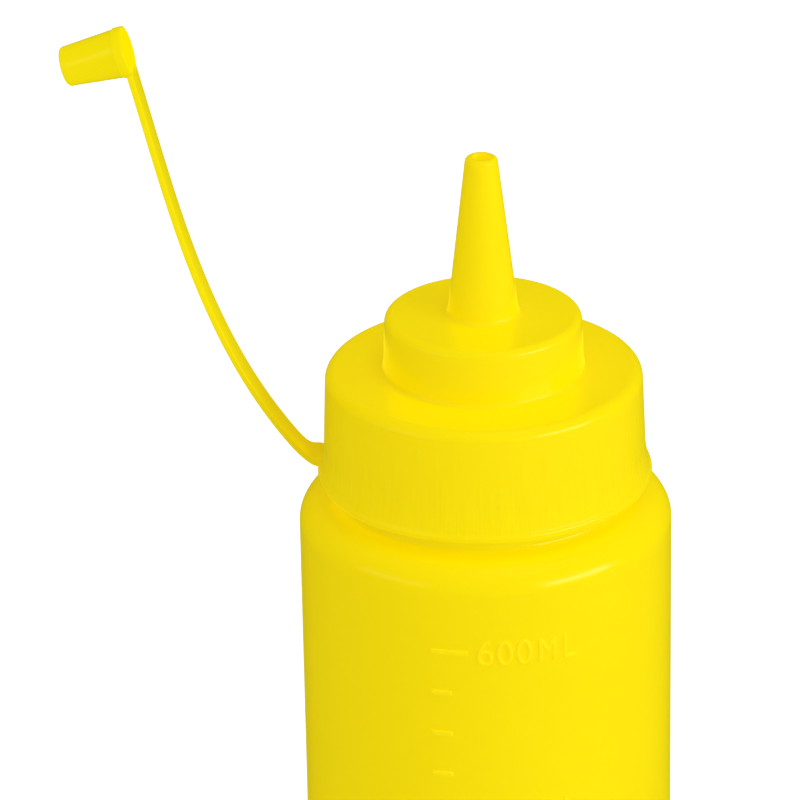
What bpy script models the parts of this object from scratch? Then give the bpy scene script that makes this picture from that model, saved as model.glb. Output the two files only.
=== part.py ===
"""Squeeze bottle for sauce, with a screw cap, a pouring nozzle and a tip cap on a strap.

The bottle stands on the origin, its axis along +Z.  The scale is on the -Y side
and the strap leaves the cap on the -X side.  Lengths below are in millimetres.
"""

import math

import bpy

# ---------------------------------------------------------------- dimensions
MM = 0.001

# Bottle: a plain cylinder with a rounded heel and shoulder, and a round neck.
BODY_RADIUS = 32.5
BODY_TOP = 201.0
HEEL_RADIUS = 4.0
SHOULDER_OUT = 8.15
SHOULDER_UP = 5.8
NECK_RADIUS = 25.9
NECK_TOP = 227.5
NECK_FILLET = 1.0
BODY_SEGMENTS = 64

# Scale: raised marks every 25 ml, with a long mark and a label every 100 ml.
SCALE_ZERO = 1.4
SCALE_STEP = 7.88
SCALE_MARKS = 24
LABEL_EVERY = 4
MARK_LEFT = -9.8
MARK_LONG = 6.5
MARK_SHORT = 3.7
MARK_WIDTH = 0.75
RELIEF = 0.30
RELIEF_ROOT = 0.50
GLYPH_HEIGHT = 4.6
GLYPH_WIDTH = 2.7
GLYPH_PITCH = 3.35
STROKE_WIDTH = 0.62
STROKE_STEP = 0.03
LABEL_LEFT = -0.35

# Cap: a skirt that flares out softly to a rounded hem, a smaller drum and a nozzle.
CAP_BOTTOM = 209.65
CAP_TOP = 229.5
CAP_CEILING = 227.9
SKIRT_INNER = 26.2
SKIRT_TOP_RADIUS = 27.5
SKIRT_LOW_RADIUS = 27.95
SKIRT_LOW = 215.5
HEM_RADIUS = 29.1
HEM_EDGE = 0.4
HEM_CURVE = 1.6
CAP_EDGE = 2.0
DRUM_RADIUS = 17.3
DRUM_TOP_RADIUS = 17.05
DRUM_TOP = 239.6
DRUM_EDGE = 1.35
DRUM_FILLET = 1.0
NOZZLE_RADIUS = 6.05
NOZZLE_FILLET = 1.1
TIP_RADIUS = 2.76
TIP_TOP = 268.6
TIP_EDGE = 0.85
BORE_RADIUS = 1.42
BORE_DEPTH = 12.0
CAP_SEGMENTS = 56

# Strap: a flat band in the upright plane at STRAP_YAW behind the -X direction.
# Its centre line is two Bezier curves, as (distance from the axis, height).
STRAP_YAW = math.radians(4.0)
STRAP_WIDTH = 5.4
STRAP_THICKNESS = 1.1
STRAP_EDGE = 0.28
STRAP_ROOT = ((27.9, 211.6), (30.0, 211.7), (31.3, 212.8), (33.05, 214.9))
STRAP_RISE = ((33.05, 214.9), (47.87, 233.52), (52.69, 257.39), (58.31, 279.79))
STRAP_REACH = 4.2
ROOT_FLARE = 0.6
ROOT_REACH = 1.5

# Tip cap: a small tapered cup on its side, its mouth towards the bottle.
MOUTH_AT = (59.6, 287.0)
CUP_DROOP = math.radians(15.5)
CUP_LENGTH = 11.5
CUP_LIP_RADIUS = 4.4
CUP_LIP = 1.8
CUP_LIP_EDGE = 0.2
CUP_RADIUS = 4.2
CUP_END_RADIUS = 3.44
CUP_EDGE = 0.75
CUP_BORE = 3.95
CUP_BORE_END = 2.75
CUP_DEPTH = 10.4
CUP_SEGMENTS = 32


# ------------------------------------------------------------------- helpers
def arc(cx, cz, rx, rz, start, end, steps):
    """Points of an elliptical arc round (cx, cz), angles in degrees from +r."""
    points = []
    for i in range(steps + 1):
        a = math.radians(start + (end - start) * i / steps)
        points.append((cx + rx * math.cos(a), cz + rz * math.sin(a)))
    return points


def new_object(name, vertices, faces):
    """A mesh object from points in millimetres, with smooth faces and sharp corners."""
    mesh = bpy.data.meshes.new(name)
    mesh.from_pydata([tuple(c * MM for c in v) for v in vertices], [], faces)
    mesh.validate()
    mesh.update()
    mesh.shade_smooth()
    mesh.set_sharp_from_angle(angle=math.radians(35.0))
    made = bpy.data.objects.new(name, mesh)
    bpy.context.scene.collection.objects.link(made)
    return made


def turned(profile, segments, place=None):
    """Points and faces of a profile turned round the axis.

    The profile is (radius, height) pairs that start and end on the axis and run
    up the outer side, so the faces point outwards.  place maps a point of the
    turned body to where it stands.
    """
    vertices = []
    rings = []
    for radius, height in profile:
        if radius < 1e-9:
            rings.append([len(vertices)])
            vertices.append((0.0, 0.0, height))
            continue
        ring = []
        for k in range(segments):
            a = 2.0 * math.pi * k / segments
            ring.append(len(vertices))
            vertices.append((radius * math.cos(a), radius * math.sin(a), height))
        rings.append(ring)
    faces = []
    for low, high in zip(rings[:-1], rings[1:]):
        for k in range(segments):
            n = (k + 1) % segments
            if len(low) == 1:
                faces.append((low[0], high[n], high[k]))
            elif len(high) == 1:
                faces.append((low[k], low[n], high[0]))
            else:
                faces.append((low[k], low[n], high[n], high[k]))
    if place is not None:
        vertices = [place(v) for v in vertices]
    return vertices, faces


def bezier(control, t):
    """A point of a cubic Bezier curve and its direction there."""
    weights = ((1 - t) ** 3, 3 * (1 - t) ** 2 * t, 3 * (1 - t) * t * t, t ** 3)
    slopes = (-3 * (1 - t) ** 2, 3 * (1 - t) * (1 - 3 * t), 3 * t * (2 - 3 * t), 3 * t * t)
    point = [sum(w * c[i] for w, c in zip(weights, control)) for i in range(2)]
    along = [sum(w * c[i] for w, c in zip(slopes, control)) for i in range(2)]
    size = math.hypot(along[0], along[1])
    return point, (along[0] / size, along[1] / size)


def in_strap_plane(out, side, up):
    """A point from distance out from the axis, sideways offset and height."""
    c = math.cos(STRAP_YAW)
    s = math.sin(STRAP_YAW)
    return (-c * out + s * side, s * out + c * side, up)


def join(target, pieces, solver):
    """One Boolean union of the pieces into the target, applied."""
    group = bpy.data.collections.new(target.name + "_pieces")
    bpy.context.scene.collection.children.link(group)
    for piece in pieces:
        bpy.context.scene.collection.objects.unlink(piece)
        group.objects.link(piece)
    union = target.modifiers.new("union", "BOOLEAN")
    union.operation = "UNION"
    union.operand_type = "COLLECTION"
    union.collection = group
    union.solver = solver
    apply_modifiers(target)
    for piece in pieces:
        bpy.data.objects.remove(piece, do_unlink=True)
    bpy.data.collections.remove(group)


def cut(target, cutter):
    """The cutter taken away from the target, applied."""
    difference = target.modifiers.new("cut", "BOOLEAN")
    difference.operation = "DIFFERENCE"
    difference.object = cutter
    apply_modifiers(target)
    bpy.data.objects.remove(cutter, do_unlink=True)


def apply_modifiers(target):
    """The evaluated mesh kept as the object's own mesh."""
    graph = bpy.context.evaluated_depsgraph_get()
    graph.update()
    shaped = bpy.data.meshes.new_from_object(target.evaluated_get(graph))
    target.modifiers.clear()
    old = target.data
    name = old.name
    target.data = shaped
    bpy.data.meshes.remove(old)
    shaped.name = name
    shaped.shade_smooth()
    shaped.set_sharp_from_angle(angle=math.radians(35.0))


def plastic(name, colour, roughness):
    """A Principled BSDF material for a moulded plastic."""
    material = bpy.data.materials.new(name)
    material.use_nodes = True
    shader = material.node_tree.nodes["Principled BSDF"]
    shader.inputs["Base Color"].default_value = (*colour, 1.0)
    shader.inputs["Roughness"].default_value = roughness
    shader.inputs["Metallic"].default_value = 0.0
    return material


# ------------------------------------------------------- raised scale strokes
def ring_stroke(cx, cy, rx, ry, steps=12):
    """A closed oval stroke as its left (inner) and right (outer) outlines."""
    half = STROKE_WIDTH / 2
    outer = []
    inner = []
    for i in range(steps):
        a = 2.0 * math.pi * (i + 0.5) / steps
        outer.append((cx + (rx + half) * math.cos(a), cy + (ry + half) * math.sin(a)))
        inner.append((cx + (rx - half) * math.cos(a), cy + (ry - half) * math.sin(a)))
    return inner, outer


def line_stroke(points, width):
    """An open stroke as its left and right outlines, mitred at the corners."""
    left = []
    right = []
    count = len(points)
    for i, (x, y) in enumerate(points):
        before = points[max(i - 1, 0)]
        after = points[min(i + 1, count - 1)]
        turns = []
        for a, b in ((before, (x, y)), ((x, y), after)):
            size = math.hypot(b[0] - a[0], b[1] - a[1])
            if size > 1e-9:
                turns.append(((b[0] - a[0]) / size, (b[1] - a[1]) / size))
        dx = sum(t[0] for t in turns) / len(turns)
        dy = sum(t[1] for t in turns) / len(turns)
        size = math.hypot(dx, dy)
        reach = width / 2 / max(size, 0.6)
        nx = -dy / size * reach
        ny = dx / size * reach
        left.append((x + nx, y + ny))
        right.append((x - nx, y - ny))
    return left, right


def on_body(x, y, height):
    """A point of the flat label laid round the front of the body."""
    a = x / BODY_RADIUS
    r = BODY_RADIUS + height
    return (r * math.sin(a), -r * math.cos(a), y)


def raised(name, one, other, closed, order=0):
    """A solid between two outlines of a stroke, from inside the wall to its relief.

    Strokes that cross in one glyph differ a little in height, by their order.
    """
    vertices = []
    for height in (-RELIEF_ROOT - STROKE_STEP * order, RELIEF + STROKE_STEP * order):
        for outline in (one, other):
            for x, y in outline:
                vertices.append(on_body(x, y, height))
    n = len(one)
    low_a, low_b, top_a, top_b = 0, n, 2 * n, 3 * n
    faces = []
    last = n if closed else n - 1
    for i in range(last):
        j = (i + 1) % n
        faces.append((top_a + i, top_b + i, top_b + j, top_a + j))
        faces.append((low_a + j, low_b + j, low_b + i, low_a + i))
        faces.append((low_a + i, top_a + i, top_a + j, low_a + j))
        faces.append((low_b + j, top_b + j, top_b + i, low_b + i))
    if not closed:
        faces.append((low_a, low_b, top_b, top_a))
        e = n - 1
        faces.append((low_a + e, top_a + e, top_b + e, low_b + e))
    return new_object(name, vertices, faces)


def glyph_strokes(glyph):
    """The strokes of a glyph in a box GLYPH_WIDTH by GLYPH_HEIGHT, centred on (0, 0)."""
    w = GLYPH_WIDTH / 2 - STROKE_WIDTH / 2
    h = GLYPH_HEIGHT / 2 - STROKE_WIDTH / 2
    low = h * 0.42
    if glyph == "0":
        return [("ring", (0.0, 0.0, w, h))]
    if glyph == "1":
        return [("line", [(-w * 0.55, h * 0.62), (w * 0.15, h), (w * 0.15, -h)])]
    if glyph == "2":
        top = arc(0.0, h - w, w, w, 165, -35, 6)
        return [("line", top + [(-w, -h), (w, -h)])]
    if glyph == "3":
        top = arc(-w * 0.1, h - low * 1.1, w * 0.95, low * 1.1, 150, -80, 6)
        foot = arc(-w * 0.1, -h + low * 1.25, w, low * 1.25, 80, -150, 7)
        return [("line", top), ("line", foot)]
    if glyph == "4":
        bent = [(w * 0.2, h), (-w, -h * 0.35), (w, -h * 0.35)]
        return [("line", bent), ("line", [(w * 0.4, h * 0.2), (w * 0.4, -h)])]
    if glyph == "5":
        bowl = arc(-w * 0.05, -h + low * 1.35, w, low * 1.35, 125, -150, 8)
        return [("line", [(w * 0.85, h), (-w * 0.75, h), (-w * 0.8, h * 0.12)] + bowl)]
    if glyph == "6":
        back = arc(w * 0.57, -h * 0.42, w * 1.6, h * 1.42, 92, 172, 6)
        return [("ring", (w * 0.06, -h + low * 1.3, w * 0.94, low * 1.3)), ("line", back)]
    if glyph == "M":
        m = w * 1.25
        return [("line", [(-m, -h), (-m, h), (0.0, -h * 0.1), (m, h), (m, -h)])]
    return [("line", [(-w * 0.8, h), (-w * 0.8, -h), (w * 0.9, -h)])]


def scale_solids():
    """All marks and labels of the scale as overlapping solids."""
    solids = []
    for step in range(1, SCALE_MARKS + 1):
        height = SCALE_ZERO + SCALE_STEP * step
        labelled = step % LABEL_EVERY == 0
        length = MARK_LONG if labelled else MARK_SHORT
        ends = [(MARK_LEFT + length * i / 3, height) for i in range(4)]
        one, other = line_stroke(ends, MARK_WIDTH)
        solids.append(raised("mark", one, other, False))
        if not labelled:
            continue
        x = LABEL_LEFT
        for place, glyph in enumerate(str(step * 25) + "ML"):
            if place:
                x += GLYPH_PITCH if place < 3 else GLYPH_PITCH * 1.22
            for order, (kind, shape) in enumerate(glyph_strokes(glyph)):
                if kind == "ring":
                    cx, cy, rx, ry = shape
                    outlines = ring_stroke(x + cx, height + cy, rx, ry)
                    solids.append(raised("oval", *outlines, True, order))
                else:
                    points = [(x + px, height + py) for px, py in shape]
                    outlines = line_stroke(points, STROKE_WIDTH)
                    solids.append(raised("line", *outlines, False, order))
    return solids


# -------------------------------------------------------------------- bottle
def shoulder_end():
    """The angle on the shoulder's oval where the neck's fillet starts, and its slope."""
    fillet_out = NECK_RADIUS + NECK_FILLET
    t = math.radians(75.0)
    slope = 0.0
    for _ in range(12):
        slope = math.atan2(SHOULDER_UP * math.cos(t), SHOULDER_OUT * math.sin(t))
        radius = fillet_out - NECK_FILLET * math.sin(slope)
        t = math.acos(1.0 - (BODY_RADIUS - radius) / SHOULDER_OUT)
    return t, slope


def bottle_profile():
    """The outline of the bottle, from the middle of the base to the top of the neck."""
    t, slope = shoulder_end()
    oval_centre = BODY_RADIUS - SHOULDER_OUT
    profile = [(0.0, 0.0)]
    heel = arc(
        BODY_RADIUS - HEEL_RADIUS, HEEL_RADIUS, HEEL_RADIUS, HEEL_RADIUS, -90, 0, 5
    )
    profile += heel
    profile += arc(
        oval_centre, BODY_TOP, SHOULDER_OUT, SHOULDER_UP, 0, math.degrees(t), 8
    )
    end_height = BODY_TOP + SHOULDER_UP * math.sin(t)
    centre = (NECK_RADIUS + NECK_FILLET, end_height + NECK_FILLET * math.cos(slope))
    profile += arc(
        *centre, NECK_FILLET, NECK_FILLET, 270 - math.degrees(slope), 180, 4
    )[1:]
    profile += [(NECK_RADIUS, NECK_TOP - 0.6), (NECK_RADIUS - 0.6, NECK_TOP)]
    profile += [(0.0, NECK_TOP)]
    return profile


# ----------------------------------------------------------------------- cap
def cap_profile():
    """The outline of the cap, from its ceiling down inside, up outside, to the bore."""
    profile = [(0.0, CAP_CEILING), (SKIRT_INNER, CAP_CEILING), (SKIRT_INNER, CAP_BOTTOM)]
    hem = CAP_BOTTOM + HEM_EDGE
    profile += arc(HEM_RADIUS - HEM_EDGE, hem, HEM_EDGE, HEM_EDGE, -90, 0, 4)
    steps = 8
    for i in range(1, steps + 1):
        t = i / steps
        flare = (HEM_RADIUS - SKIRT_LOW_RADIUS) * (1 - t) ** HEM_CURVE
        profile.append((SKIRT_LOW_RADIUS + flare, hem + (SKIRT_LOW - hem) * t))
    profile += arc(
        SKIRT_TOP_RADIUS - CAP_EDGE, CAP_TOP - CAP_EDGE, CAP_EDGE, CAP_EDGE, 0, 90, 6
    )
    profile += arc(
        DRUM_RADIUS + DRUM_FILLET, CAP_TOP + DRUM_FILLET, DRUM_FILLET, DRUM_FILLET, 270, 180, 4
    )
    profile += arc(
        DRUM_TOP_RADIUS - DRUM_EDGE, DRUM_TOP - DRUM_EDGE, DRUM_EDGE, DRUM_EDGE, 0, 90, 5
    )
    lean = math.atan2(NOZZLE_RADIUS - TIP_RADIUS, TIP_TOP - DRUM_TOP)
    foot = NOZZLE_RADIUS + NOZZLE_FILLET
    profile += arc(
        foot, DRUM_TOP + NOZZLE_FILLET, NOZZLE_FILLET, NOZZLE_FILLET,
        270, 180 + math.degrees(lean), 4,
    )
    profile += arc(
        TIP_RADIUS - TIP_EDGE + 0.08, TIP_TOP - TIP_EDGE, TIP_EDGE, TIP_EDGE,
        math.degrees(lean), 90, 4,
    )
    profile += [(BORE_RADIUS + 0.12, TIP_TOP), (BORE_RADIUS, TIP_TOP - 0.15)]
    profile += [(BORE_RADIUS, TIP_TOP - BORE_DEPTH), (0.0, TIP_TOP - BORE_DEPTH)]
    return profile


def strap_solid():
    """The strap swept along its centre line, thicker and wider where it leaves the hem.

    Past the end of the curve it runs on straight, into the wall of the tip cap.
    """
    stations = [bezier(STRAP_ROOT, i / 8) for i in range(8)]
    stations += [bezier(STRAP_RISE, i / 30) for i in range(31)]
    (out, up), (du, dv) = stations[-1]
    stations.append(((out + du * STRAP_REACH, up + dv * STRAP_REACH), (du, dv)))
    vertices = []
    sides = 8
    for (out, up), (du, dv) in stations:
        near = math.exp(-((max(out - HEM_RADIUS, 0.0) / ROOT_REACH) ** 2))
        half_t = STRAP_THICKNESS / 2 + ROOT_FLARE / 2 * near
        half_w = STRAP_WIDTH / 2 + ROOT_FLARE * near
        lift = ROOT_FLARE / 2 * near
        e = STRAP_EDGE
        section = (
            (half_w, -half_t + e), (half_w, half_t - e),
            (half_w - e, half_t), (-half_w + e, half_t),
            (-half_w, half_t - e), (-half_w, -half_t + e),
            (-half_w + e, -half_t), (half_w - e, -half_t),
        )
        for side, thick in section:
            t = thick + lift
            vertices.append(in_strap_plane(out - dv * t, side, up + du * t))
    faces = [tuple(range(sides))]
    for s in range(len(stations) - 1):
        for k in range(sides):
            n = (k + 1) % sides
            a = s * sides
            b = a + sides
            faces.append((a + k, b + k, b + n, a + n))
    last = (len(stations) - 1) * sides
    faces.append(tuple(last + k for k in reversed(range(sides))))
    return new_object("strap", vertices, faces)


def place_cup(point):
    """A point of the cup, turned round its own axis from the mouth, to its place."""
    x, y, along = point
    c = math.cos(CUP_DROOP)
    s = math.sin(CUP_DROOP)
    out = MOUTH_AT[0] + c * along - s * x
    up = MOUTH_AT[1] - s * along - c * x
    return in_strap_plane(out, -y, up)


def cup_solid():
    """The outer body of the tip cap, closed at the mouth until its bore is cut."""
    e = CUP_LIP_EDGE
    profile = [(0.0, 0.0)]
    profile += arc(CUP_LIP_RADIUS - e, e, e, e, -90, 0, 2)
    profile += [(CUP_LIP_RADIUS, CUP_LIP - 0.15), (CUP_RADIUS, CUP_LIP + 0.1)]
    profile += arc(
        CUP_END_RADIUS - CUP_EDGE, CUP_LENGTH - CUP_EDGE, CUP_EDGE, CUP_EDGE, 5, 90, 4
    )
    profile += [(0.0, CUP_LENGTH)]
    return new_object("cup", *turned(profile, CUP_SEGMENTS, place_cup))


def cup_bore():
    """The cutter for the hollow of the tip cap, running out past its mouth."""
    flare = CUP_BORE + (CUP_BORE - CUP_BORE_END) * 2.0 / CUP_DEPTH
    profile = [(0.0, -2.0), (flare, -2.0), (CUP_BORE, 0.0)]
    profile += [(CUP_BORE_END, CUP_DEPTH - 0.3), (CUP_BORE_END - 0.3, CUP_DEPTH)]
    profile += [(0.0, CUP_DEPTH)]
    return new_object("cup_bore", *turned(profile, CUP_SEGMENTS, place_cup))


# --------------------------------------------------------------------- build
def build():
    for old in list(bpy.data.objects):
        bpy.data.objects.remove(old, do_unlink=True)

    bottle = new_object("bottle", *turned(bottle_profile(), BODY_SEGMENTS))
    join(bottle, scale_solids(), "MANIFOLD")

    cap = new_object("cap", *turned(cap_profile(), CAP_SEGMENTS))
    join(cap, [strap_solid(), cup_solid()], "EXACT")
    cut(cap, cup_bore())

    bottle.data.materials.clear()
    bottle.data.materials.append(plastic("bottle_plastic", (0.90, 0.74, 0.0), 0.32))
    cap.data.materials.clear()
    cap.data.materials.append(plastic("cap_plastic", (0.91, 0.76, 0.0), 0.28))


build()
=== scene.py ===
# %% [markdown]
# # A squeeze bottle for sauce
#
# This lesson dresses a simple solid model of a yellow squeeze bottle: a round
# body with a raised volume scale, and a screw cap with a pouring nozzle, a
# curved strap and a small tip cap. The solid model gives sizes and places. Here
# every piece is made again as a fine surface, worked out with numpy as points
# on a grid, and gets the look of smooth polyethylene.
#
# We begin by loading the imported model, whose boxes give the sizes below.

import math

import bpy
import numpy as np
from mathutils import Matrix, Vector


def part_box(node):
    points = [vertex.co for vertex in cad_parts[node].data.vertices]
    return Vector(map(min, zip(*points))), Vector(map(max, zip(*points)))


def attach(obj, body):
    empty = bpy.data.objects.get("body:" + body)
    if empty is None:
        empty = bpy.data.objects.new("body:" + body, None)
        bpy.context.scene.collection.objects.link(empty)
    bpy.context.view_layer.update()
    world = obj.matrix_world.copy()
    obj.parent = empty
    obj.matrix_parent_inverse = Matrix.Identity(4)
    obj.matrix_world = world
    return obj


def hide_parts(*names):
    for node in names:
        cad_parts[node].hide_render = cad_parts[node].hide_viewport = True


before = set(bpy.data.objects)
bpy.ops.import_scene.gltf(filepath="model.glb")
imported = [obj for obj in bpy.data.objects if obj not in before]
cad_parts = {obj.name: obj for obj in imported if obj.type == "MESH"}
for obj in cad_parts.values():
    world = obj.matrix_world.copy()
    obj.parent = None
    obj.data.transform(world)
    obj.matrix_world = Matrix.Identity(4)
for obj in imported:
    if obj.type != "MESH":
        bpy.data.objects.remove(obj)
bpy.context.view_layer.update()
print("nodes:", sorted(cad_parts))

# %% [markdown]
# All lengths below are in millimetres, as a mould maker would write them, and
# are turned to metres only when points go into a mesh. The bottle stands on the
# origin with its axis along +Z. The scale is on the -Y side, and the strap
# leaves the cap on the -X side.

# %% Units
MM = 0.001


def box_of(node):
    """Lowest and highest corner of a node of the solid model, in millimetres."""
    low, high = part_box(node)
    return np.array(low) / MM, np.array(high) / MM


_, bottle_high = box_of("bottle")
cap_low, _ = box_of("cap")
BODY_RADIUS = bottle_high[0]
NECK_TOP = bottle_high[2]
CAP_BOTTOM = cap_low[2]
print(f"body radius {BODY_RADIUS:.2f}, neck top {NECK_TOP:.2f}, cap bottom {CAP_BOTTOM:.2f}")

# %% [markdown]
# ## Tools for turned and swept surfaces
#
# Nearly every piece of this object is either turned round an axis or carried
# along a line. So three small helpers do most of the work: an arc for the round
# stretches of an outline, a function that joins a grid of points with faces, and
# one that turns an outline round the axis. Working on whole arrays keeps the
# code short and quick, and smooth shading then hides the small facets.


# %% Outlines
def arc(centre, radii, start, end, steps):
    """Points of an elliptical arc: centre plus radii times (cosine, sine), from start to end in degrees."""
    angle = np.radians(np.linspace(start, end, steps + 1))
    return np.column_stack((
        centre[0] + radii[0] * np.cos(angle),
        centre[1] + radii[1] * np.sin(angle),
    ))


def line(first, last, steps):
    """Evenly spaced points from first to last, without the first."""
    share = np.linspace(0, 1, steps + 1)[1:, None]
    return np.array(first) * (1 - share) + np.array(last) * share


# %% Grids of points into meshes
def grid_faces(rows, columns, around=True):
    """Quads that join a grid of points row by row, closed across the columns if around."""
    row = np.arange(rows - 1)[:, None]
    column = np.arange(columns if around else columns - 1)[None, :]
    after = (column + 1) % columns
    corners = (
        row * columns + column,
        row * columns + after,
        (row + 1) * columns + after,
        (row + 1) * columns + column,
    )
    return np.stack(corners, axis=-1).reshape(-1, 4)


def add_piece(name, points, faces, sharp=40.0):
    """A mesh object at the origin from points in millimetres, smooth but for edges sharper than the angle."""
    mesh = bpy.data.meshes.new(name)
    mesh.from_pydata((np.asarray(points) * MM).tolist(), [], [list(f) for f in faces])
    mesh.validate()
    mesh.shade_smooth()
    mesh.set_sharp_from_angle(angle=math.radians(sharp))
    piece = bpy.data.objects.new(name, mesh)
    bpy.context.scene.collection.objects.link(piece)
    print(f"{name}: {len(mesh.vertices)} points, {len(mesh.polygons)} faces")
    return piece


def turned(profile, segments):
    """Points and faces of an outline turned round the Z axis.

    Point k of a ring is (r cos a, r sin a, z) with a = 2 pi k / segments. The
    outline runs up the outer side, and starts and ends on the axis, where a
    fan of triangles closes it with one point.
    """
    radius, height = np.asarray(profile)[1:-1].T
    angle = 2 * np.pi * np.arange(segments) / segments
    rings = np.stack((
        radius[:, None] * np.cos(angle),
        radius[:, None] * np.sin(angle),
        np.repeat(height[:, None], segments, axis=1),
    ), axis=-1)
    points = np.vstack((rings.reshape(-1, 3), [[0, 0, profile[0][1]]], [[0, 0, profile[-1][1]]]))
    first, last = len(points) - 2, len(points) - 1
    step = np.arange(segments)
    after = (step + 1) % segments
    top = (len(radius) - 1) * segments
    faces = [tuple(f) for f in grid_faces(len(radius), segments)]
    faces += list(zip(np.full(segments, first), after, step))
    faces += list(zip(np.full(segments, last), top + step, top + after))
    return points, faces


# %% [markdown]
# ## The bottle's wall
#
# The body is blown: a straight round wall, a rounded heel below and a soft
# shoulder above that meets the neck in a small fillet. The shoulder is a quarter
# of an oval, 8.15 mm wide and 5.8 mm high. The fillet starts where the oval has
# the same slope as the fillet's own arc, so the light runs over it without a
# kink. That place is found by trying an angle and improving it a few times.

# %% Outline of the bottle
HEEL_RADIUS = 4.0
BODY_TOP = 201.0
SHOULDER_OUT = 8.15
SHOULDER_UP = 5.8
NECK_RADIUS = 25.9
NECK_FILLET = 1.0
NECK_EDGE = 0.6


def shoulder_end():
    """Angle on the shoulder's oval where the fillet starts, and the slope there."""
    angle = math.radians(75.0)
    for _ in range(12):
        slope = math.atan2(SHOULDER_UP * math.cos(angle), SHOULDER_OUT * math.sin(angle))
        radius = NECK_RADIUS + NECK_FILLET * (1 - math.sin(slope))
        angle = math.acos(1 - (BODY_RADIUS - radius) / SHOULDER_OUT)
    return angle, slope


def bottle_outline():
    """(radius, height) from the middle of the base, up the wall, to the neck's top."""
    angle, slope = shoulder_end()
    oval = (BODY_RADIUS - SHOULDER_OUT, BODY_TOP)
    heel = (BODY_RADIUS - HEEL_RADIUS, HEEL_RADIUS)
    oval_top = BODY_TOP + SHOULDER_UP * math.sin(angle)
    fillet = (NECK_RADIUS + NECK_FILLET, oval_top + NECK_FILLET * math.cos(slope))
    return np.vstack((
        [(0.0, 0.0)],
        line((0.0, 0.0), (heel[0], 0.0), 4)[:-1],
        arc(heel, (HEEL_RADIUS, HEEL_RADIUS), -90, 0, 12),
        line((BODY_RADIUS, HEEL_RADIUS), (BODY_RADIUS, BODY_TOP), 40)[:-1],
        arc(oval, (SHOULDER_OUT, SHOULDER_UP), 0, math.degrees(angle), 28),
        arc(fillet, (NECK_FILLET, NECK_FILLET), 270 - math.degrees(slope), 180, 10)[1:],
        [(NECK_RADIUS, NECK_TOP - NECK_EDGE), (NECK_RADIUS - NECK_EDGE, NECK_TOP), (0.0, NECK_TOP)],
    ))


bottle_wall = add_piece("bottle_wall", *turned(bottle_outline(), 256))
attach(bottle_wall, "root")
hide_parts("bottle")

# %% [markdown]
# ## The raised scale
#
# The scale stands out of the wall by 0.3 mm: a mark for every 25 ml, and a long
# mark with a label for every 100 ml. In a mould such lines are cut with a round
# ended tool, so each stroke is a low ridge with soft sides and round ends.
#
# A ridge is a grid of points: one direction runs along the stroke's line, the
# other across it. Its height follows a half oval across, and near each end both
# the width and the height shrink in the same way, which rounds the end. The flat
# drawing is then wrapped round the body. The ridge's underside lies just inside
# the wall, so every stroke is a closed body.

# %% Ridges on the wall
SCALE_ZERO = 1.4
SCALE_STEP = 7.88
SCALE_MARKS = 24
LABEL_EVERY = 4
MARK_LEFT = -9.8
MARK_LONG = 6.5
MARK_SHORT = 3.7
MARK_WIDTH = 0.95
STROKE_WIDTH = 0.66
RELIEF = 0.30
RIDGE_ROOT = 0.25
RIDGE_SPACING = 0.22
END_RINGS = 5
ACROSS = 11
FLATNESS = 0.6


def evenly(path, spacing):
    """The path with points at an even spacing along its length."""
    path = np.asarray(path, float)
    run = np.concatenate(([0], np.cumsum(np.hypot(*np.diff(path, axis=0).T))))
    count = max(int(round(run[-1] / spacing)), 2)
    at = np.linspace(0, run[-1], count + 1)
    return np.column_stack((np.interp(at, run, path[:, 0]), np.interp(at, run, path[:, 1])))


def wrap(x, y, height):
    """Points of the flat label laid round the front of the body: x becomes an arc, y stays upright."""
    angle = x / BODY_RADIUS
    radius = BODY_RADIUS + height
    return np.stack((radius * np.sin(angle), -radius * np.cos(angle), y), axis=-1)


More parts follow.
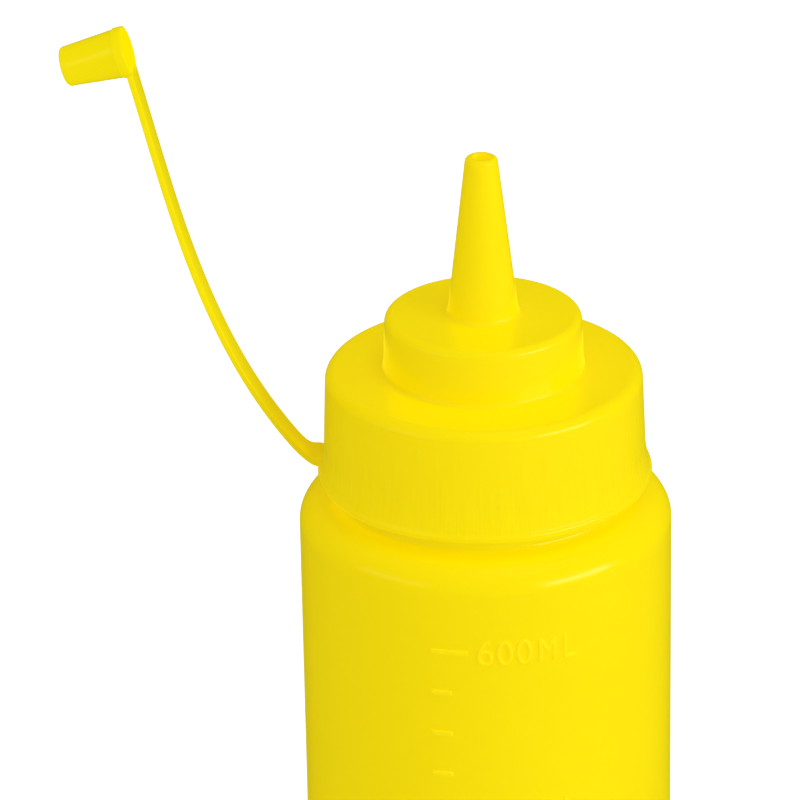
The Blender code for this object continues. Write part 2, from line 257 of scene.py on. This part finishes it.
def ridge(path, width, closed=False, relief=RELIEF):
    """Points and faces of one ridge.

    Across the stroke the outline is a flattened oval: cosine and sine of an angle,
    each to the power 0.6, give the place and the height. Both width and height
    fall off over half a width past each end, as the fourth root of 1 - d to the
    fourth, so an end is blunt with round corners.
    """
    middle = evenly(path, RIDGE_SPACING)
    if closed:
        middle = middle[:-1]
        along = np.roll(middle, -1, axis=0) - np.roll(middle, 1, axis=0)
        size = np.ones(len(middle))
    else:
        along = np.gradient(middle, axis=0)
        past = np.cos(np.linspace(0, np.pi / 2, END_RINGS + 1))[:-1]
        first = middle[0] - np.outer(past, along[0] / np.hypot(*along[0])) * width / 2
        last = middle[-1] + np.outer(past[::-1], along[-1] / np.hypot(*along[-1])) * width / 2
        taper = np.maximum(1 - past ** 4, 0.01) ** 0.25
        size = np.concatenate((taper, np.ones(len(middle)), taper[::-1]))
        along = np.vstack((np.repeat(along[:1], END_RINGS, 0), along, np.repeat(along[-1:], END_RINGS, 0)))
        middle = np.vstack((first, middle, last))
    along = along / np.hypot(along[:, 0], along[:, 1])[:, None]
    side = np.column_stack((-along[:, 1], along[:, 0]))
    angle = np.linspace(0, np.pi, ACROSS)
    v = np.sign(np.cos(angle)) * np.abs(np.cos(angle)) ** FLATNESS
    v = np.concatenate((v, [-1.0, 1.0]))
    up = np.concatenate((np.abs(np.sin(angle)) ** FLATNESS, [0.0, 0.0]))
    root = np.concatenate((np.zeros(ACROSS), [-RIDGE_ROOT, -RIDGE_ROOT]))
    x = middle[:, :1] + side[:, :1] * v * size[:, None] * width / 2
    y = middle[:, 1:] + side[:, 1:] * v * size[:, None] * width / 2
    height = up * relief * size[:, None] + root
    points = wrap(x, y, height).reshape(-1, 3)
    columns = len(v)
    rows = len(middle)
    faces = [tuple(f) for f in grid_faces(rows, columns)]
    if closed:
        k = np.arange(columns)
        after = (k + 1) % columns
        end = (rows - 1) * columns
        faces += list(zip(end + k, end + after, after, k))
    else:
        faces.append(tuple(range(columns)))
        faces.append(tuple((rows - 1) * columns + k for k in reversed(range(columns))))
    return points, faces


# %% [markdown]
# The numerals and letters are drawn with a few strokes each, as an engraver
# would, in a cell 2.75 mm wide and 4.7 mm high. Round strokes are arcs of ovals.

# %% Strokes of the numerals
GLYPH_HEIGHT = 4.7
GLYPH_WIDTH = 2.75
GLYPH_PITCH = 3.35
LETTER_PITCH = 4.1
LABEL_LEFT = -0.35


def strokes_of(glyph):
    """The strokes of one glyph round (0, 0): a list of (path, closed)."""
    w = GLYPH_WIDTH / 2 - STROKE_WIDTH / 2
    h = GLYPH_HEIGHT / 2 - STROKE_WIDTH / 2
    if glyph == "0":
        return [(arc((0, 0), (w, h), 0, 360, 48), True)]
    if glyph == "1":
        return [([(-w * 0.55, h * 0.62), (w * 0.15, h), (w * 0.15, -h)], False)]
    if glyph == "2":
        top = arc((0, h - w), (w, w), 165, -35, 20)
        return [(np.vstack((top, [(-w, -h), (w, -h)])), False)]
    if glyph == "3":
        top = arc((-w * 0.1, h * 0.54), (w * 0.95, h * 0.46), 150, -85, 20)
        foot = arc((-w * 0.1, -h * 0.46), (w, h * 0.54), 88, -150, 24)
        return [(top, False), (foot, False)]
    if glyph == "4":
        bent = [(w * 0.2, h), (-w, -h * 0.35), (w, -h * 0.35)]
        return [(bent, False), ([(w * 0.4, h * 0.2), (w * 0.4, -h)], False)]
    if glyph == "5":
        bowl = arc((-w * 0.05, -h * 0.43), (w, h * 0.57), 125, -150, 26)
        return [(np.vstack(([(w * 0.85, h), (-w * 0.75, h), (-w * 0.8, h * 0.12)], bowl)), False)]
    if glyph == "6":
        back = arc((w * 0.57, -h * 0.42), (w * 1.57, h * 1.42), 92, 178, 24)
        return [(arc((0, -h * 0.42), (w, h * 0.58), 0, 360, 40), True), (back, False)]
    if glyph == "M":
        m = w * 1.2
        return [([(-m, -h), (-m, h), (0, -h * 0.1), (m, h), (m, -h)], False)]
    return [([(-w * 0.8, h), (-w * 0.8, -h), (w * 0.9, -h)], False)]


def scale_ridges():
    """All the marks and labels of the scale, each stroke a ridge of its own."""
    found = []
    for step in range(1, SCALE_MARKS + 1):
        height = SCALE_ZERO + SCALE_STEP * step
        labelled = step % LABEL_EVERY == 0
        length = MARK_LONG if labelled else MARK_SHORT
        inset = MARK_WIDTH / 2
        ends = [(MARK_LEFT + inset, height), (MARK_LEFT + length - inset, height)]
        found.append(ridge(ends, MARK_WIDTH))
        if not labelled:
            continue
        x = LABEL_LEFT
        for place, glyph in enumerate(str(step * 25) + "ML"):
            if place:
                x += GLYPH_PITCH if place < 3 else LETTER_PITCH
            for path, closed in strokes_of(glyph):
                found.append(ridge(np.asarray(path) + (x, height), STROKE_WIDTH, closed))
    return found


def joined(parts):
    """Several (points, faces) as one, each part's faces counted on from the points before it."""
    points = np.vstack([p for p, _ in parts])
    faces = []
    start = 0
    for p, f in parts:
        faces += [tuple(int(i) + start for i in face) for face in f]
        start += len(p)
    return points, faces


volume_scale = add_piece("volume_scale", *joined(scale_ridges()), sharp=80.0)
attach(volume_scale, "root")
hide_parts("bottle")

# %% [markdown]
# ## The screw cap
#
# The cap is moulded: a skirt that leans out a little and flares softly to a
# hem with a small roll; a rounded top edge; a smaller drum; and the pouring
# nozzle, a slim cone with a rounded tip and a hole down its middle. One outline
# holds it all, from the ceiling inside, down and round the hem, up the outside
# and over the tip into the hole.

# %% Outline of the cap
CAP_TOP = 229.5
CAP_CEILING = 227.9
SKIRT_INNER = 26.2
SKIRT_TOP_RADIUS = 27.5
SKIRT_LOW_RADIUS = 27.95
SKIRT_LOW = 215.5
HEM_RADIUS = 29.1
HEM_ROLL = 0.8
HEM_MIDDLE = 210.25
HEM_CORNER = 28.85
FLARE_RADIUS = 28.72
FLARE_LOW = 211.0
FLARE_CURVE = 1.5
CAP_EDGE = 2.0
DRUM_RADIUS = 17.3
DRUM_TOP_RADIUS = 17.05
DRUM_TOP = 239.6
DRUM_EDGE = 1.35
DRUM_FILLET = 1.0
NOZZLE_RADIUS = 6.05
NOZZLE_FILLET = 1.1
TIP_RADIUS = 2.76
TIP_TOP = 268.6
TIP_EDGE = 0.85
TIP_OUTSET = 0.08
BORE_RADIUS = 1.42
BORE_DEPTH = 12.0
BORE_EDGE = 0.15


def hem_flare(steps):
    """The soft flare from the hem's roll up to the skirt.

    The extra radius falls off as (1 - t) to the power 1.5, with t from 0 to 1.
    """
    t = np.linspace(0, 1, steps + 1)
    return np.column_stack((
        SKIRT_LOW_RADIUS + (FLARE_RADIUS - SKIRT_LOW_RADIUS) * (1 - t) ** FLARE_CURVE,
        FLARE_LOW + (SKIRT_LOW - FLARE_LOW) * t,
    ))


def cap_outline():
    """(radius, height) of the cap from its ceiling inside to the bottom of the nozzle's hole."""
    lean = math.degrees(math.atan2(NOZZLE_RADIUS - TIP_RADIUS, TIP_TOP - DRUM_TOP))
    tip = (TIP_RADIUS - TIP_EDGE + TIP_OUTSET, TIP_TOP - TIP_EDGE)
    foot = (NOZZLE_RADIUS + NOZZLE_FILLET, DRUM_TOP + NOZZLE_FILLET)
    return np.vstack((
        [(0.0, CAP_CEILING), (SKIRT_INNER, CAP_CEILING), (SKIRT_INNER, CAP_BOTTOM)],
        [(HEM_CORNER, CAP_BOTTOM)],
        arc((HEM_RADIUS - HEM_ROLL, HEM_MIDDLE), (HEM_ROLL, HEM_ROLL), -30, 50, 14),
        hem_flare(24),
        line((SKIRT_LOW_RADIUS, SKIRT_LOW), (SKIRT_TOP_RADIUS, CAP_TOP - CAP_EDGE), 8)[:-1],
        arc((SKIRT_TOP_RADIUS - CAP_EDGE, CAP_TOP - CAP_EDGE), (CAP_EDGE, CAP_EDGE), 0, 90, 16),
        arc((DRUM_RADIUS + DRUM_FILLET, CAP_TOP + DRUM_FILLET), (DRUM_FILLET, DRUM_FILLET), 270, 180, 8),
        arc((DRUM_TOP_RADIUS - DRUM_EDGE, DRUM_TOP - DRUM_EDGE), (DRUM_EDGE, DRUM_EDGE), 0, 90, 12),
        arc(foot, (NOZZLE_FILLET, NOZZLE_FILLET), 270, 180 + lean, 10),
        arc(tip, (TIP_EDGE, TIP_EDGE), lean, 90, 12),
        arc((BORE_RADIUS + BORE_EDGE, TIP_TOP - BORE_EDGE), (BORE_EDGE, BORE_EDGE), 90, 180, 4),
        [(BORE_RADIUS, TIP_TOP - BORE_DEPTH), (0.0, TIP_TOP - BORE_DEPTH)],
    ))


screw_cap = add_piece("screw_cap", *turned(cap_outline(), 240))
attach(screw_cap, "root")
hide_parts("cap")

# %% [markdown]
# ## The strap
#
# The strap is a flat band, 5.4 mm wide and about 1 mm thick, that grows out of
# the hem and curves up to hold the tip cap beside the nozzle. It stands in one
# upright plane, turned 4 degrees behind the -X direction. Its centre line is two
# cubic Bezier curves in that plane, a short one where it turns up out of the hem
# and a long one for the rise. A rounded rectangle is carried along the line;
# near the hem it grows wider and thicker, which makes the fillets. At the far
# end every line of the band runs on straight until it is inside the thin wall of
# the tip cap, so that nothing shows in the cap's hollow. The strap is kept out
# of reflections, because its mirror image on the skirt reads as a crease. A real
# strap would be reflected.

# %% Curves in the strap's plane
STRAP_YAW = math.radians(4.0)
STRAP_WIDTH = 5.4
STRAP_THICKNESS = 1.1
STRAP_EDGE = 0.28
STRAP_ROOT = np.array(((27.9, 211.6), (30.0, 211.7), (31.3, 212.8), (33.05, 214.9)))
STRAP_RISE = np.array(((33.05, 214.9), (47.87, 233.52), (52.69, 257.39), (58.31, 279.79)))
ROOT_FLARE = 0.6
ROOT_REACH = 1.5
MOUTH_OUT = 59.6
MOUTH_UP = 287.0
CUP_DROOP = math.radians(15.5)
STRAP_END_RADIUS = 4.17


def bezier(control, steps):
    """Points of a cubic Bezier curve: the four control points mixed by their Bernstein weights."""
    t = np.linspace(0, 1, steps + 1)[:, None]
    weights = ((1 - t) ** 3, 3 * (1 - t) ** 2 * t, 3 * (1 - t) * t * t, t ** 3)
    return sum(weight * point for weight, point in zip(weights, control))


def in_strap_plane(out, side, up):
    """Points from their distance out from the axis, sideways offset and height."""
    c = math.cos(STRAP_YAW)
    s = math.sin(STRAP_YAW)
    return np.stack(np.broadcast_arrays(s * side - c * out, s * out + c * side, up), axis=-1)


def rounded_section(half_width, half_thickness, edge, steps=5):
    """A rectangle with round corners as (side, thickness) points, anticlockwise, for arrays of sizes."""
    corners = ((1, -1, -90), (1, 1, 0), (-1, 1, 90), (-1, -1, 180))
    side = []
    thick = []
    for sx, sy, start in corners:
        angle = np.radians(np.linspace(start, start + 90, steps + 1))
        side.append(sx * (half_width - edge)[:, None] + edge * np.cos(angle))
        thick.append(sy * (half_thickness - edge)[:, None] + edge * np.sin(angle))
    return np.hstack(side), np.hstack(thick)


def strap_surface():
    """The strap's section carried along its centre line, closed at both ends."""
    middle = np.vstack((bezier(STRAP_ROOT, 24)[:-1], bezier(STRAP_RISE, 120)))
    along = np.gradient(middle, axis=0)
    along /= np.hypot(along[:, 0], along[:, 1])[:, None]
    past_hem = np.maximum(middle[:, 0] - HEM_RADIUS, 0)
    near = np.exp(-((past_hem / ROOT_REACH) ** 2))
    half_width = STRAP_WIDTH / 2 + ROOT_FLARE * near
    half_thickness = STRAP_THICKNESS / 2 + ROOT_FLARE / 2 * near
    side, thick = rounded_section(half_width, half_thickness, STRAP_EDGE)
    thick = thick + (ROOT_FLARE / 2 * near)[:, None]
    out = middle[:, :1] - along[:, 1:] * thick
    up = middle[:, 1:] + along[:, :1] * thick
    below_axis = (MOUTH_OUT - out[-1]) * math.sin(CUP_DROOP) + (MOUTH_UP - up[-1]) * math.cos(CUP_DROOP)
    reach = below_axis - np.sqrt(STRAP_END_RADIUS ** 2 - side[-1] ** 2)
    share = np.linspace(0, 1, 9)[1:, None]
    out = np.vstack((out, out[-1] + along[-1, 0] * reach * share))
    up = np.vstack((up, up[-1] + along[-1, 1] * reach * share))
    side = np.vstack((side, np.repeat(side[-1:], len(share), axis=0)))
    points = in_strap_plane(out, side, up)
    rows, columns = points.shape[:2]
    faces = [tuple(f[::-1]) for f in grid_faces(rows, columns)]
    faces.append(tuple(range(columns)))
    faces.append(tuple((rows - 1) * columns + k for k in reversed(range(columns))))
    return points.reshape(-1, 3), faces


cap_strap = add_piece("cap_strap", *strap_surface(), sharp=60.0)
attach(cap_strap, "root")
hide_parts("cap")
cap_strap.visible_glossy = False

# %% [markdown]
# ## The tip cap
#
# At the strap's end sits a small tapered cup that plugs over the nozzle's tip.
# It lies on its side, its mouth towards the bottle, and droops outwards by 15.5
# degrees. It is turned like the cap, as an outline that runs from the bottom of
# its hollow out over the lip and along the outside to its closed end, and is
# then laid in the strap's plane. Its rounds are finer than the solid's, so they
# reach a few thousandths of a millimetre further. The lip's radius and the
# length are each 0.01 mm under the solid's, which keeps the cup in its box.

# %% Tip cap
CUP_LENGTH = 11.49
CUP_LIP_RADIUS = 4.39
CUP_LIP = 1.8
CUP_LIP_EDGE = 0.2
CUP_RADIUS = 4.2
CUP_END_RADIUS = 3.44
CUP_EDGE = 0.75
CUP_BORE = 3.95
CUP_BORE_END = 2.75
CUP_DEPTH = 10.4
CUP_FLOOR_EDGE = 0.3
CUP_LIP_ROUND = 0.1
CUP_LIP_STEP = 0.05


def cup_outline():
    """(radius, distance from the mouth) from the bottom of the hollow to the closed end."""
    e = CUP_LIP_EDGE
    f = CUP_FLOOR_EDGE
    g = CUP_LIP_ROUND
    return np.vstack((
        [(0.0, CUP_DEPTH)],
        line((0.0, CUP_DEPTH), (CUP_BORE_END - f, CUP_DEPTH), 3)[:-1],
        arc((CUP_BORE_END - f, CUP_DEPTH - f), (f, f), 90, 0, 5),
        line((CUP_BORE_END, CUP_DEPTH - f), (CUP_BORE, e), 6),
        arc((CUP_BORE + e, e), (e, e), 180, 270, 5)[1:],
        arc((CUP_LIP_RADIUS - e, e), (e, e), 270, 360, 5),
        arc((CUP_LIP_RADIUS - g, CUP_LIP - 2 * g), (g, g), 0, 80, 3),
        [(CUP_RADIUS, CUP_LIP + CUP_LIP_STEP)],
        arc((CUP_END_RADIUS - CUP_EDGE, CUP_LENGTH - CUP_EDGE), (CUP_EDGE, CUP_EDGE), 5, 90, 9),
        [(0.0, CUP_LENGTH)],
    ))


def placed_cup(points):
    """The cup's points, turned on their own axis from the mouth, laid in the strap's plane."""
    x, y, along = points.T
    c = math.cos(CUP_DROOP)
    s = math.sin(CUP_DROOP)
    return in_strap_plane(MOUTH_OUT + c * along - s * x, -y, MOUTH_UP - s * along - c * x)


cup_points, cup_faces = turned(cup_outline(), 96)
tip_cap = add_piece("tip_cap", placed_cup(cup_points), cup_faces)
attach(tip_cap, "root")
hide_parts("cap")

# %% [markdown]
# ## Yellow polyethylene
#
# The plastic is a strong yellow with a soft shine. Polyethylene lets a little
# light in, so thin edges glow: subsurface scattering does that. It reflects less
# than glass, and its surface keeps fine marks of the mould, which a low bump
# shows where the light grazes it. The colour shifts very slightly over the
# surface, because the wall's thickness and the pigment are never quite even.
# Light that has come through the wall, and the soft light that fills the creases,
# the corners and the shade under the hem, is painted on as a glow of the plastic's
# own. This is painted light: it lifts every face evenly. Where the surface is seen
# edge on it turns paler and stronger, a painted sheen of the bright room. The
# strap and the tip cap are thin and let more light through, so their painted glow
# is stronger. It grows up the strap from the thick root, where they look like the
# cap.
#
# This glow is a short cut. It doesn't follow the light, so it is right for this
# bright studio alone: in a dark scene the bottle would look lit from inside.
# There the painted glow and sheen go down and the base colours go up.
#
# The pattern is placed by Object coordinates, so it stays with the object.

# %% Plastic with fine marks of the mould
YELLOW = (0.855, 0.753, 0.0, 1.0)
YELLOW_DEEP = (0.822, 0.724, 0.0, 1.0)
# Painted highlight: the scale's paler yellows, for the light its ridges catch.
SCALE_HIGHLIGHT = (0.88, 0.79, 0.01, 1.0)
SCALE_HIGHLIGHT_DEEP = (0.85, 0.76, 0.0, 1.0)
# Painted shade for the crease under the cap's hem.
PAINTED_CREASE_YELLOW = (0.70, 0.70, 0.0, 1.0)
ROOT_YELLOW = (0.66, 0.60, 0.0, 1.0)
ROOT_DEEP = (0.62, 0.56, 0.0, 1.0)
THIN_YELLOW = (0.56, 0.45, 0.0, 1.0)
# Painted light: emission colours that lift the plastic's shade evenly.
GLOW = (0.325, 0.2015, 0.0, 1.0)
# Painted sheen: the emission colour at the edges seen edge on.
PAINTED_EDGE_SHEEN = (0.40, 0.34, 0.015, 1.0)
THIN_GLOW = (0.52, 0.44, 0.0, 1.0)
SHINE = (1.0, 0.96, 0.6, 1.0)
GRAIN_RELIEF = 0.012
SWAY_RELIEF = 0.10
STREAK_RELIEF = 0.10
STREAK_SHADE = 3.0
ROUGHNESS_SPREAD = 0.03


class Nodes:
    """A short way to add and link the nodes of one material."""

    def __init__(self, name):
        self.material = bpy.data.materials.new(name)
        self.material.use_nodes = True
        self.tree = self.material.node_tree
        self.shader = self.tree.nodes["Principled BSDF"]

    def add(self, kind, inputs=(), **settings):
        node = self.tree.nodes.new(kind)
        for key, value in settings.items():
            setattr(node, key, value)
        for key, value in dict(inputs).items():
            if isinstance(value, bpy.types.NodeSocket):
                self.tree.links.new(value, node.inputs[key])
            else:
                node.inputs[key].default_value = value
        return node

    def mix(self, factor, first, second):
        node = self.add("ShaderNodeMix", {"Factor": factor, "A": first, "B": second}, data_type="RGBA")
        return node.outputs["Result"]

    def math(self, operation, *values):
        node = self.add("ShaderNodeMath", dict(enumerate(values)), operation=operation)
        return node.outputs[0]


def plastic(name, roughness, deep=YELLOW_DEEP, light=YELLOW, streaks=None, fade=None):
    """Yellow plastic: mottled colour and fine grain. Streaks run between two heights, and the
    fade changes its colour and its glow to others between two heights."""
    n = Nodes("yellow_" + name)
    place = n.add("ShaderNodeTexCoord").outputs["Object"]
    mottle = n.add("ShaderNodeTexNoise", {"Vector": place, "Scale": 45.0, "Detail": 2.0})
    grain = n.add("ShaderNodeTexNoise", {"Vector": place, "Scale": 900.0, "Detail": 3.0})
    sway = n.add("ShaderNodeTexNoise", {"Vector": place, "Scale": 30.0, "Detail": 1.0})
    relief = n.math("ADD", n.math("MULTIPLY", grain.outputs["Fac"], GRAIN_RELIEF),
                    n.math("MULTIPLY", sway.outputs["Fac"], SWAY_RELIEF))
    shade = mottle.outputs["Fac"]
    if streaks:
        lines = streak_lines(n, place, *streaks)
        relief = n.math("ADD", relief, n.math("MULTIPLY", lines, STREAK_RELIEF))
        shade = n.math("ADD", shade, n.math("MULTIPLY", lines, STREAK_SHADE))
    colour = n.mix(shade, deep, light)
    # Painted light: the glow is emission that lifts the shade in creases and corners, not a lamp.
    glow = GLOW
    if fade:
        low, high, far_colour, far_glow = fade
        z = n.add("ShaderNodeSeparateXYZ", {"Vector": place}).outputs["Z"]
        share = n.add("ShaderNodeMapRange", {"Value": z, "From Min": low * MM, "From Max": high * MM})
        colour = n.mix(share.outputs["Result"], colour, far_colour)
        glow = n.mix(share.outputs["Result"], glow, far_glow)
    # Painted sheen: the glow turns paler and stronger where the surface is seen edge on.
    edge_on = n.add("ShaderNodeLayerWeight", {"Blend": 0.5}).outputs["Facing"]
    glow = n.mix(n.math("POWER", edge_on, 5.0), glow, PAINTED_EDGE_SHEEN)
    n.tree.links.new(colour, n.shader.inputs["Base Color"])
    n.tree.links.new(glow, n.shader.inputs["Emission Color"])
    bump = n.add("ShaderNodeBump", {"Height": relief, "Strength": 1.0, "Distance": 0.001})
    n.tree.links.new(bump.outputs["Normal"], n.shader.inputs["Normal"])
    rough = n.add("ShaderNodeMapRange", {
        "Value": grain.outputs["Fac"],
        "To Min": roughness - ROUGHNESS_SPREAD,
        "To Max": roughness + ROUGHNESS_SPREAD,
    })
    n.tree.links.new(rough.outputs["Result"], n.shader.inputs["Roughness"])
    shader = n.shader.inputs
    shader["Metallic"].default_value = 0.0
    shader["IOR"].default_value = 1.5
    shader["Specular IOR Level"].default_value = 0.42
    shader["Specular Tint"].default_value = SHINE
    shader["Emission Strength"].default_value = 1.0
    shader["Subsurface Weight"].default_value = 0.12
    shader["Subsurface Radius"].default_value = (1.0, 0.75, 0.1)
    shader["Subsurface Scale"].default_value = 0.0015
    return n.material


def streak_lines(n, place, low, high):
    """Upright streaks round zero, faded out from low to high.

    They are noise that changes quickly round the axis and slowly along it.
    """
    part = n.add("ShaderNodeSeparateXYZ", {"Vector": place})
    x, y, z = (part.outputs[axis] for axis in "XYZ")
    around = n.math("ARCTAN2", y, x)
    at = n.add("ShaderNodeCombineXYZ", {
        "X": n.math("MULTIPLY", around, 14.0), "Y": n.math("MULTIPLY", z, 25.0),
    })
    noise = n.add("ShaderNodeTexNoise", {"Vector": at.outputs[0], "Scale": 4.0, "Detail": 4.0})
    window = n.add("ShaderNodeMapRange", {
        "Value": z, "From Min": low * MM, "From Max": high * MM, "To Min": 1.0, "To Max": 0.0,
    })
    above = n.math("GREATER_THAN", z, (HEM_MIDDLE + HEM_ROLL / 2) * MM)
    amount = n.math("MULTIPLY", window.outputs[0], above)
    return n.math("MULTIPLY", n.math("SUBTRACT", noise.outputs["Fac"], 0.5), amount)


# Painted shade: the neck and the top of the shoulder, in the crease under the hem, get a less red, slightly
# darker yellow that takes out the orange cast of light bouncing there.
CREASE_TINT_LOW = BODY_TOP + 4.0
CREASE_TINT_HIGH = BODY_TOP + SHOULDER_UP + 0.3
THIN_FADE_LOW = 214.0
THIN_FADE_HIGH = 242.0
bottle_plastic = plastic("bottle_plastic", 0.19,
                         fade=(CREASE_TINT_LOW, CREASE_TINT_HIGH, PAINTED_CREASE_YELLOW, GLOW))
# Painted highlight: the scale is a paler copy of the bottle's plastic, for the light that its ridges catch.
scale_plastic = plastic("scale_plastic", 0.19, SCALE_HIGHLIGHT_DEEP, SCALE_HIGHLIGHT)
cap_plastic = plastic("cap_plastic", 0.21, streaks=(SKIRT_LOW, CAP_TOP))
thin_plastic = plastic("thin_plastic", 0.21, ROOT_DEEP, ROOT_YELLOW,
                       fade=(THIN_FADE_LOW, THIN_FADE_HIGH, THIN_YELLOW, THIN_GLOW))
bottle_wall.data.materials.append(bottle_plastic)
volume_scale.data.materials.append(scale_plastic)
screw_cap.data.materials.append(cap_plastic)
for piece in (cap_strap, tip_cap):
    piece.data.materials.append(thin_plastic)

# %% [markdown]
# ## Floor, light and camera
#
# The bottle stands on a plain pale floor under soft studio light. A pale world
# lights it from all round, and one long low soft box to the right of the camera
# draws the bright line on each rounded edge. A dimmer one on the left gives each
# edge its second, fainter line, and one overhead lifts the faces that look up.
# The world, the floor and the overhead box are kept out of reflections, which
# leaves only the two low boxes to draw lines. The long box is low enough to
# mirror in the flat tops when they are seen from behind, and turns them white.

# %% Floor and world
floor_size = 4.0
floor_mesh = bpy.data.meshes.new("floor")
half = floor_size / 2
floor_corners = [(-half, -half, 0), (half, -half, 0), (half, half, 0), (-half, half, 0)]
floor_mesh.from_pydata(floor_corners, [], [(0, 1, 2, 3)])
floor = bpy.data.objects.new("floor", floor_mesh)
bpy.context.scene.collection.objects.link(floor)
paper = Nodes("floor_paper")
paper.shader.inputs["Base Color"].default_value = (0.93, 0.93, 0.93, 1)
paper.shader.inputs["Roughness"].default_value = 0.9
paper.shader.inputs["Emission Color"].default_value = (1, 1, 1, 1)
seen = paper.add("ShaderNodeLightPath").outputs["Is Camera Ray"]
paper.tree.links.new(paper.math("MULTIPLY", seen, 0.6), paper.shader.inputs["Emission Strength"])
floor_mesh.materials.append(paper.material)
floor.visible_glossy = False

world = bpy.data.worlds.new("studio")
world.use_nodes = True
world.node_tree.nodes["Background"].inputs["Color"].default_value = (1, 1, 1, 1)
world.node_tree.nodes["Background"].inputs["Strength"].default_value = 0.52
world.cycles_visibility.glossy = False
bpy.context.scene.world = world


# %% Soft boxes
LAMP_AIM_HEIGHT = 0.22


def soft_box(name, azimuth, elevation, distance, size, power):
    """An area light aimed at the cap, from an azimuth to the right of the camera and an elevation."""
    a = math.radians(azimuth)
    e = math.radians(elevation)
    toward = np.array((math.sin(a) * math.cos(e), -math.cos(a) * math.cos(e), math.sin(e)))
    light = bpy.data.lights.new(name, "AREA")
    light.shape = "RECTANGLE"
    light.size, light.size_y = size
    light.energy = power
    lamp = bpy.data.objects.new(name, light)
    right = np.cross((0, 0, 1), toward)
    right /= np.linalg.norm(right)
    above = np.cross(toward, right)
    basis = np.column_stack((right, above, toward))
    place = Matrix.Translation(toward * distance + (0, 0, LAMP_AIM_HEIGHT))
    lamp.matrix_world = place @ Matrix(basis.tolist()).to_4x4()
    bpy.context.scene.collection.objects.link(lamp)
    return lamp


soft_box("key_box", 57, 15, 1.2, (0.90, 0.32), 3.7)
soft_box("fill_box", -58, 15, 1.2, (0.90, 0.32), 0.6)
top_box = soft_box("top_box", 35, 72, 1.2, (0.6, 0.6), 2.3)
top_box.visible_glossy = False

# %% [markdown]
# The camera looks down on the bottle from 24.6 degrees above the level, with a
# long lens. Its aim is set so that the middle of the cap's flat top falls on a
# chosen point of the square picture, and it leans over by two thirds of a degree.

# %% Camera
PICTURE = 800
SENSOR = 36.0
CAMERA_ELEVATION = math.radians(24.577)
CAMERA_DISTANCE = 28.477 * 32.5
PIXELS_PER_TANGENT = 5358.2
AIM_PIXEL = (483.69, 366.23)
CAMERA_ROLL = math.radians(-0.6765)


def rotation(axis, angle):
    """The 3 x 3 matrix that turns by the angle round the axis."""
    return np.array(Matrix.Rotation(angle, 3, axis.tolist()))


def camera_matrix():
    """Where the camera stands and how it is turned, so that the cap's top middle lands on the aim pixel."""
    c = math.cos(CAMERA_ELEVATION)
    s = math.sin(CAMERA_ELEVATION)
    away = np.array((0.0, -c, s))
    place = (away * CAMERA_DISTANCE + (0, 0, CAP_TOP)) * MM
    right = np.array((1.0, 0.0, 0.0))
    down = np.cross(-away, right)
    straight = np.array((right, down, -away))
    offset = (np.array(AIM_PIXEL) - PICTURE / 2) / PIXELS_PER_TANGENT
    ray = np.array((*offset, 1.0))
    ray /= np.linalg.norm(ray)
    ahead = np.array((0.0, 0.0, 1.0))
    tilt_axis = np.cross(ahead, ray)
    tilt_angle = math.atan2(np.linalg.norm(tilt_axis), ray @ ahead)
    tilt_axis /= np.linalg.norm(tilt_axis)
    look = rotation(ray, CAMERA_ROLL) @ rotation(tilt_axis, tilt_angle) @ straight
    turned_to = np.column_stack((look[0], -look[1], -look[2]))
    return Matrix.Translation(place.tolist()) @ Matrix(turned_to.tolist()).to_4x4()


lens = bpy.data.cameras.new("camera")
lens.sensor_width = SENSOR
lens.lens = PIXELS_PER_TANGENT * SENSOR / PICTURE
lens.clip_start = 0.05
lens.clip_end = 20.0
camera = bpy.data.objects.new("camera", lens)
camera.matrix_world = camera_matrix()
bpy.context.scene.collection.objects.link(camera)
bpy.context.scene.camera = camera
bpy.context.scene.view_settings.view_transform = "Standard"
print("camera at", [round(v, 4) for v in camera.matrix_world.translation], "lens", round(lens.lens, 1))
